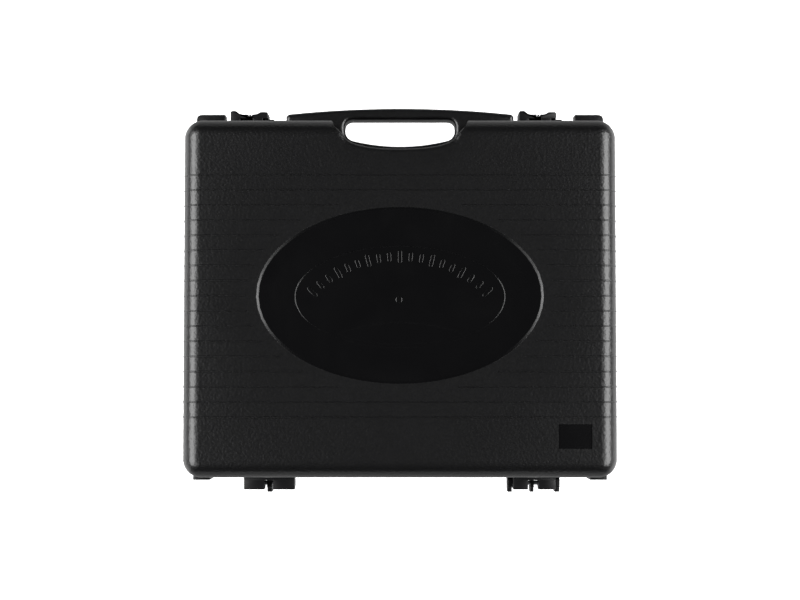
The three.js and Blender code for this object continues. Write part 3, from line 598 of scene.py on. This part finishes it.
# ---------- ribs on the lid ----------
# Fine raised beads run across the lid and over its round edges, and stop short of the oval. They belong to
# the lid's moulding, in its own polyethylene.
rib_count, rib_pitch, rib_top_y = 17, 13.03 * mm, 105.8 * mm
rib_radius, rib_sunk, rib_low_z = 0.8 * mm, 0.25 * mm, 86 * mm
oval_margin = 9 * mm


def bead_tree(name, sides):
    """Sweeps a round bead along every edge of a mesh. Its inputs are the bead's radius and its material."""
    tree = bpy.data.node_groups.new(name, "GeometryNodeTree")
    tree.interface.new_socket("Geometry", in_out="INPUT", socket_type="NodeSocketGeometry")
    tree.interface.new_socket("Bead radius", in_out="INPUT", socket_type="NodeSocketFloat")
    tree.interface.new_socket("Finish", in_out="INPUT", socket_type="NodeSocketMaterial")
    tree.interface.new_socket("Geometry", in_out="OUTPUT", socket_type="NodeSocketGeometry")
    nodes = tree.nodes
    entry, leave = nodes.new("NodeGroupInput"), nodes.new("NodeGroupOutput")
    path = nodes.new("GeometryNodeMeshToCurve")
    section = nodes.new("GeometryNodeCurvePrimitiveCircle")
    section.inputs["Resolution"].default_value = sides
    sweep = nodes.new("GeometryNodeCurveToMesh")
    sweep.inputs["Fill Caps"].default_value = True
    smooth = nodes.new("GeometryNodeSetShadeSmooth")
    realize = nodes.new("GeometryNodeRealizeInstances")
    finish = nodes.new("GeometryNodeSetMaterial")
    link(tree, entry.outputs["Geometry"], path.inputs["Mesh"])
    link(tree, entry.outputs["Bead radius"], section.inputs["Radius"])
    link(tree, path.outputs["Curve"], sweep.inputs["Curve"])
    link(tree, section.outputs["Curve"], sweep.inputs["Profile Curve"])
    link(tree, sweep.outputs["Mesh"], smooth.inputs["Geometry"])
    link(tree, smooth.outputs["Geometry"], realize.inputs["Geometry"])
    link(tree, realize.outputs["Geometry"], finish.inputs["Geometry"])
    link(tree, entry.outputs["Finish"], finish.inputs["Material"])
    link(tree, finish.outputs["Geometry"], leave.inputs["Geometry"])
    return tree


bead_nodes = bead_tree("bead_along_edges", 10)


def set_input(modifier, label, value):
    for item in modifier.node_group.interface.items_tree:
        if item.item_type == "SOCKET" and item.in_out == "INPUT" and item.name == label:
            modifier[item.identifier] = value


def beads(name, paths, radius, finish, body, closed=False):
    """Raised beads along lists of points, as one mesh."""
    mesh = bpy.data.meshes.new(name)
    points, edges = [], []
    for path in paths:
        first = len(points)
        points += [tuple(point) for point in path]
        edges += [(i, i + 1) for i in range(first, len(points) - 1)]
        if closed:
            edges.append((len(points) - 1, first))
    mesh.from_pydata(points, edges, [])
    piece = new_object(name, mesh)
    modifier = piece.modifiers.new("beads", "NODES")
    modifier.node_group = bead_nodes
    set_input(modifier, "Bead radius", radius)
    set_input(modifier, "Finish", finish)
    baked(piece)
    bm = bmesh.new()
    bm.from_mesh(piece.data)
    bmesh.ops.remove_doubles(bm, verts=bm.verts, dist=0.005 * mm)
    bmesh.ops.recalc_face_normals(bm, faces=bm.faces)
    bm.to_mesh(piece.data)
    bm.free()
    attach(piece, body)
    return piece


def edge_profile():
    """Points up the lid's wall and over the round edge to the face: distance from the middle, and height."""
    sunk_radius = edge_radius - rib_sunk
    centre_x = half_x - draft - edge_radius
    centre_z = case_top - edge_radius
    points = [(centre_x + sunk_radius + 0.25 * mm, rib_low_z)]
    for step in range(13):
        angle = math.radians(90 * step / 12)
        points.append((centre_x + sunk_radius * math.cos(angle), centre_z + sunk_radius * math.sin(angle)))
    return points


rib_paths = []
for row in range(rib_count):
    y = rib_top_y - row * rib_pitch
    share = 1 - ((y - oval_centre) / (oval_y + oval_margin)) ** 2
    right = [Vector((x, y, z)) for x, z in edge_profile()]
    left = [Vector((-p.x, p.y, p.z)) for p in reversed(right)]
    if share <= 0:
        rib_paths.append(right + left)
    else:
        stop = (oval_x + oval_margin) * math.sqrt(share)
        end = Vector((stop, y, case_top - rib_sunk))
        rib_paths.append(right + [end])
        rib_paths.append([Vector((-stop, y, case_top - rib_sunk))] + left)
beads("lid_ribs", rib_paths, rib_radius, case_grain, "lid")

# ---------- decoration in the oval ----------
# Fine raised lines, an arched row of short bars and a small mark in the middle stand on the oval's floor.
# They come from the lid's mould, in its own polyethylene.
oval_floor = case_top - oval_depth
line_radius, line_sunk = 0.42 * mm, 0.15 * mm
inner_x, inner_y, inner_centre = 90.2 * mm, 43.7 * mm, 0.7 * mm


def ellipse_path(hx, hy, centre_y, start, end, steps, z):
    angles = [math.radians(start + (end - start) * i / steps) for i in range(steps + 1)]
    return [Vector((hx * math.cos(a), centre_y + hy * math.sin(a), z)) for a in angles]


line_z = oval_floor - line_sunk
beads("oval_line", [ellipse_path(inner_x, inner_y, inner_centre, 0, 357.5, 143, line_z)], line_radius,
      oval_gloss, "lid", closed=True)
arch_half, arch_low, arch_high = 54.4 * mm, -31.6 * mm, -21.4 * mm
arch_rise = arch_high - arch_low
arch_radius = (arch_half ** 2 + arch_rise ** 2) / (2 * arch_rise)
arch_centre = arch_high - arch_radius
arch_angle = math.asin(arch_half / arch_radius)
arch = [Vector((arch_radius * math.sin(a), arch_centre + arch_radius * math.cos(a), line_z))
        for a in (arch_angle * (i / 24 - 1) for i in range(49))]
under = ellipse_path(inner_x - 4 * mm, inner_y - 2.6 * mm, inner_centre, 232, 308, 40, line_z)
beads("oval_arch", [arch, under], line_radius, oval_gloss, "lid")

gate = [Vector((-0.9 * mm + 2.6 * mm * math.cos(a), -1.9 * mm + 2.6 * mm * math.sin(a), line_z))
        for a in (2 * math.pi * i / 24 for i in range(24))]
beads("gate_ring", [gate], line_radius, oval_gloss, "lid", closed=True)

bar_count, bar_arc_radius, bar_arc_centre, bar_arc_angle = 19, 108.5 * mm, -73.2 * mm, 44
bar_long, bar_wide, bar_proud = 8.5 * mm, 3.4 * mm, 0.4 * mm


def capsule(width, length, steps=6):
    half = length / 2 - width / 2
    points = []
    for end in (1, -1):
        for step in range(steps + 1):
            angle = math.radians(180 * step / steps) + (0 if end > 0 else math.pi)
            points.append((width / 2 * math.cos(angle), end * half + width / 2 * math.sin(angle)))
    return points


def arched_bars():
    """Short rounded bars standing side by side along the arch."""
    whole = bmesh.new()
    for which in range(bar_count):
        angle = math.radians(bar_arc_angle * (1 - 2 * which / (bar_count - 1)))
        length = bar_long * (1.0 if which % 3 else 1.35)
        bar = rounded_plate("bar", [capsule(bar_wide, length)], oval_floor - 0.6 * mm, oval_floor + bar_proud,
                            0.35 * mm, 2)
        turn = Matrix.Translation((0, bar_arc_centre, 0)) @ Matrix.Rotation(angle, 4, "Z")
        bar.data.transform(turn @ Matrix.Translation((0, bar_arc_radius, 0)))
        whole.from_mesh(bar.data)
        bpy.data.objects.remove(bar)
    mesh = bpy.data.meshes.new("arched_bars")
    whole.to_mesh(mesh)
    whole.free()
    return new_object("arched_bars", mesh)


moulded(arched_bars(), "lid", oval_gloss)

# ---------- latches ----------
# Saddle-shaped thumb sliders of smooth black plastic, each with two narrow slits in its waist. Each is
# moulded by itself and slides along its rail on the tray.
latch_black = smooth_plastic("latch_black", (0.004, 0.004, 0.0045), 0.3)


def refined(node, body, finish, width, cuts=()):
    """A copy of a plain piece with softly rounded edges and its real finish, in that piece's place."""
    bm = bmesh.new()
    bm.from_mesh(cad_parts[node].data)
    bmesh.ops.remove_doubles(bm, verts=bm.verts, dist=0.002 * mm)
    bmesh.ops.dissolve_limit(bm, angle_limit=math.radians(0.6), verts=bm.verts, edges=bm.edges)
    mesh = bpy.data.meshes.new(node)
    bm.to_mesh(mesh)
    bm.free()
    piece = new_object(f"{node}_finished", mesh)
    for low, high in cuts:
        combined(piece, box_between("cut", low, high))
    softened(piece, width)
    moulded(piece, body, finish)
    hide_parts(node)
    return piece


slit_width, slit_places = 0.8 * mm, (15.8 * mm, 18.1 * mm)
for node in ("latch_left", "latch_right"):
    low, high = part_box(node)
    slits = [((low.x + place, rail_top_y + 0.5 * mm, low.z - 1 * mm),
              (low.x + place + slit_width, high.y + 1 * mm, high.z + 1 * mm)) for place in slit_places]
    refined(node, node, latch_black, 0.5 * mm, slits)

# ---------- hinges ----------
# Each hinge has one leaf on the lid and one on the tray, moulded from acetal, with interleaved knuckles. A
# plated steel pin runs through them.
def clouded(name, colour, metallic, roughness, scale, grain_depth, stretch=(1, 1, 1), spots=0.0):
    """A finish whose colour, gloss and relief all follow one noise. Spots adds sparse paler flecks."""
    material, tree, shader = node_material(name)
    nodes = tree.nodes
    place, mapping = nodes.new("ShaderNodeTexCoord"), nodes.new("ShaderNodeMapping")
    mapping.inputs["Scale"].default_value = stretch
    noise = nodes.new("ShaderNodeTexNoise")
    noise.inputs["Scale"].default_value = scale
    noise.inputs["Detail"].default_value = 6
    link(tree, place.outputs["Object"], mapping.inputs["Vector"])
    link(tree, mapping.outputs[0], noise.inputs["Vector"])
    tint, gloss = nodes.new("ShaderNodeValToRGB"), nodes.new("ShaderNodeMapRange")
    tint.color_ramp.elements[0].position = 0.3
    tint.color_ramp.elements[0].color = (*(c * 0.82 for c in colour), 1)
    tint.color_ramp.elements[1].position = 0.7
    tint.color_ramp.elements[1].color = (*(min(c * 1.15, 1) for c in colour), 1)
    link(tree, noise.outputs["Fac"], tint.inputs["Fac"])
    gloss.inputs["To Min"].default_value, gloss.inputs["To Max"].default_value = roughness
    link(tree, noise.outputs["Fac"], gloss.inputs["Value"])
    link(tree, gloss.outputs[0], shader.inputs["Roughness"])
    bump = nodes.new("ShaderNodeBump")
    bump.inputs["Strength"].default_value = 0.5
    bump.inputs["Distance"].default_value = grain_depth
    link(tree, noise.outputs["Fac"], bump.inputs["Height"])
    link(tree, bump.outputs[0], shader.inputs["Normal"])
    shader.inputs["Metallic"].default_value = metallic
    if not spots:
        link(tree, tint.outputs["Color"], shader.inputs["Base Color"])
        return material
    flecks = nodes.new("ShaderNodeTexVoronoi")
    sparse = nodes.new("ShaderNodeMath")
    mixed = nodes.new("ShaderNodeMix")
    flecks.inputs["Scale"].default_value = 380
    sparse.operation = "LESS_THAN"
    sparse.inputs[1].default_value = spots
    mixed.data_type = "RGBA"
    mixed.inputs["B"].default_value = (*(min(c * 6 + 0.05, 1) for c in colour), 1)
    link(tree, place.outputs["Object"], flecks.inputs["Vector"])
    link(tree, flecks.outputs["Distance"], sparse.inputs[0])
    link(tree, sparse.outputs[0], mixed.inputs["Factor"])
    link(tree, tint.outputs["Color"], mixed.inputs["A"])
    link(tree, mixed.outputs["Result"], shader.inputs["Base Color"])
    return material


zinc = clouded("zinc_plated_steel", (0.5, 0.51, 0.53), 1, (0.24, 0.48), 90, 0.03 * mm)

for word in ("left", "right"):
    refined(f"hinge_{word}_lid_leaf", "lid", latch_black, 0.6 * mm)
    refined(f"hinge_{word}_tray_leaf", "tray", latch_black, 0.4 * mm)
    refined(f"hinge_{word}_pin", "tray", zinc, 0.3 * mm)

# ---------- stove casing ----------
# A folded sheet-steel box in satin grey paint, with an enamelled top plate and dish. The hinged cover beside
# the plate closes the cartridge bay.
grey_paint = clouded("satin_grey_paint", (0.03, 0.032, 0.037), 0, (0.3, 0.42), 700, 0.06 * mm)
black_enamel = clouded("black_enamel", (0.012, 0.012, 0.014), 0, (0.1, 0.2), 60, 0.05 * mm, spots=0.14)

refined("stove_base", "tray", grey_paint, 0.35 * mm)
refined("valve_cowl", "tray", grey_paint, 0.35 * mm)
refined("cartridge_cover", "cover", grey_paint, 0.35 * mm)
refined("top_plate", "tray", black_enamel, 0.35 * mm)
refined("pan_support", "tray", black_enamel, 0.6 * mm)
refined("partition", "tray", zinc, 0.2 * mm)
refined("cover_hinge_rod", "tray", zinc, 0.2 * mm)

# embossed lines that stiffen the cover
cover_low, cover_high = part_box("cartridge_cover")
emboss_end, emboss_sunk, emboss_radius = 22 * mm, 0.55 * mm, 1.1 * mm
emboss_x = [cover_low.x + share * (cover_high.x - cover_low.x) for share in (0.36, 0.5, 0.64)]
emboss_y = (cover_low.y + emboss_end, cover_high.y - emboss_end)
emboss = [[Vector((x, y, cover_high.z - emboss_sunk)) for y in emboss_y] for x in emboss_x]
beads("cover_emboss", emboss, emboss_radius, grey_paint, "cover")

# ---------- feet and screws ----------
# Moulded rubber feet under the box, and cross-recessed zinc screws through the top plate and the burner's
# bracket.
foot_rubber = clouded("foot_rubber", (0.018, 0.018, 0.018), 0, (0.7, 0.9), 500, 0.1 * mm)
for index in range(4):
    refined(f"rubber_foot_{index + 1}", "tray", foot_rubber, 0.5 * mm)

recess_long, recess_wide, recess_deep = 2.2 * mm, 0.45 * mm, 1.1 * mm
screws = [f"plate_screw_{index + 1}" for index in range(4)]
screws += [f"burner_screw_{index + 1}" for index in range(2)]
for node in screws:
    low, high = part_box(node)
    x, y = (low.x + high.x) / 2, (low.y + high.y) / 2
    cross = [((x - a, y - b, high.z - recess_deep), (x + a, y + b, high.z + 1 * mm))
             for a, b in ((recess_long, recess_wide), (recess_wide, recess_long))]
    refined(node, "tray", zinc, 0.15 * mm, cross)

# ---------- burner ----------
# A cast aluminium bowl under a brass cap, fed by the bent mixing tube. Low teeth around the bowl part the
# flames.
cast_grey = clouded("cast_aluminium", (0.42, 0.43, 0.44), 1, (0.42, 0.6), 420, 0.12 * mm)
turned_brass = clouded("turned_brass", (0.56, 0.38, 0.15), 1, (0.28, 0.4), 180, 0.012 * mm, stretch=(1, 1, 8))
refined("burner_bracket", "tray", zinc, 0.3 * mm)
refined("burner_head", "tray", cast_grey, 0.5 * mm)
refined("burner_cap", "tray", turned_brass, 0.6 * mm)
refined("mixing_tube", "tray", zinc, 0.2 * mm)

tooth_count, tooth_width, tooth_depth = 48, 1.3 * mm, 3.2 * mm
head_low, head_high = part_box("burner_head")
burner_centre = Vector(((head_low.x + head_high.x) / 2, (head_low.y + head_high.y) / 2, head_high.z))
tooth_radius = (head_high.x - head_low.x) / 2 - 2.4 * mm


def tooth_tree():
    """Stands rounded teeth on a circle. Its inputs are their count and the circle's radius."""
    tree = bpy.data.node_groups.new("teeth_on_a_circle", "GeometryNodeTree")
    tree.interface.new_socket("Geometry", in_out="INPUT", socket_type="NodeSocketGeometry")
    tree.interface.new_socket("Count", in_out="INPUT", socket_type="NodeSocketInt")
    tree.interface.new_socket("Circle radius", in_out="INPUT", socket_type="NodeSocketFloat")
    tree.interface.new_socket("Geometry", in_out="OUTPUT", socket_type="NodeSocketGeometry")
    nodes = tree.nodes
    entry, leave = nodes.new("NodeGroupInput"), nodes.new("NodeGroupOutput")
    circle, spots = nodes.new("GeometryNodeCurvePrimitiveCircle"), nodes.new("GeometryNodeCurveToPoints")
    stand, realize = nodes.new("GeometryNodeInstanceOnPoints"), nodes.new("GeometryNodeRealizeInstances")
    link(tree, entry.outputs["Circle radius"], circle.inputs["Radius"])
    link(tree, circle.outputs["Curve"], spots.inputs["Curve"])
    link(tree, entry.outputs["Count"], spots.inputs["Count"])
    link(tree, spots.outputs["Points"], stand.inputs["Points"])
    link(tree, spots.outputs["Rotation"], stand.inputs["Rotation"])
    link(tree, entry.outputs["Geometry"], stand.inputs["Instance"])
    link(tree, stand.outputs["Instances"], realize.inputs["Geometry"])
    link(tree, realize.outputs["Geometry"], leave.inputs["Geometry"])
    return tree


tooth = rounded_plate("burner_teeth", [capsule(tooth_width, tooth_depth)], -0.7 * mm, 0.25 * mm, 0.2 * mm, 2)
tooth.data.transform(Matrix.Rotation(math.radians(90), 4, "X"))
ring_of_teeth = tooth.modifiers.new("ring", "NODES")
ring_of_teeth.node_group = tooth_tree()
set_input(ring_of_teeth, "Count", tooth_count)
set_input(ring_of_teeth, "Circle radius", tooth_radius)
baked(tooth)
tooth.data.transform(Matrix.Translation(burner_centre - Vector((0, 0, 0.2 * mm))))
moulded(tooth, "tray", cast_grey)

# ---------- valve, knob and lever ----------
# The cast valve block holds a brass collar for the cartridge. The knob on the front opens it, and the lever
# beside the knob locks the cartridge.
refined("gas_regulator", "tray", cast_grey, 0.8 * mm)
refined("cartridge_collar", "tray", turned_brass, 0.3 * mm)
refined("knob_shaft", "knob", zinc, 0.3 * mm)
refined("control_knob", "knob", latch_black, 0.7 * mm)
refined("cartridge_lever", "lever", latch_black, 0.6 * mm)
refined("cartridge_cradle", "tray", zinc, 0.25 * mm)

knob_low, knob_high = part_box("control_knob")
mark_x = (knob_low.x + knob_high.x) / 2
mark_z = (knob_low.z + knob_high.z) / 2
index_white = clouded("index_paint", (0.75, 0.75, 0.72), 0, (0.35, 0.5), 300, 0.04 * mm)
mark_y, mark_low, mark_high = knob_high.y - 0.1 * mm, 8 * mm, 14.5 * mm
mark = [[Vector((mark_x, mark_y, mark_z + rise)) for rise in (mark_low, mark_high)]]
beads("knob_mark", mark, 0.35 * mm, index_white, "knob")

# ---------- ignition ----------
# The piezo block behind the knob has a black plastic housing. Its red silicone lead runs to the glazed
# ceramic electrode at the burner's edge.
red_silicone = clouded("red_silicone", (0.3, 0.03, 0.022), 0, (0.45, 0.6), 400, 0.05 * mm)
glazed_ceramic = clouded("glazed_ceramic", (0.78, 0.75, 0.67), 0, (0.12, 0.25), 120, 0.05 * mm)
refined("piezo_igniter", "tray", latch_black, 0.7 * mm)
refined("ignition_electrode", "tray", glazed_ceramic, 0.2 * mm)
refined("ignition_lead", "tray", red_silicone, 0.1 * mm)
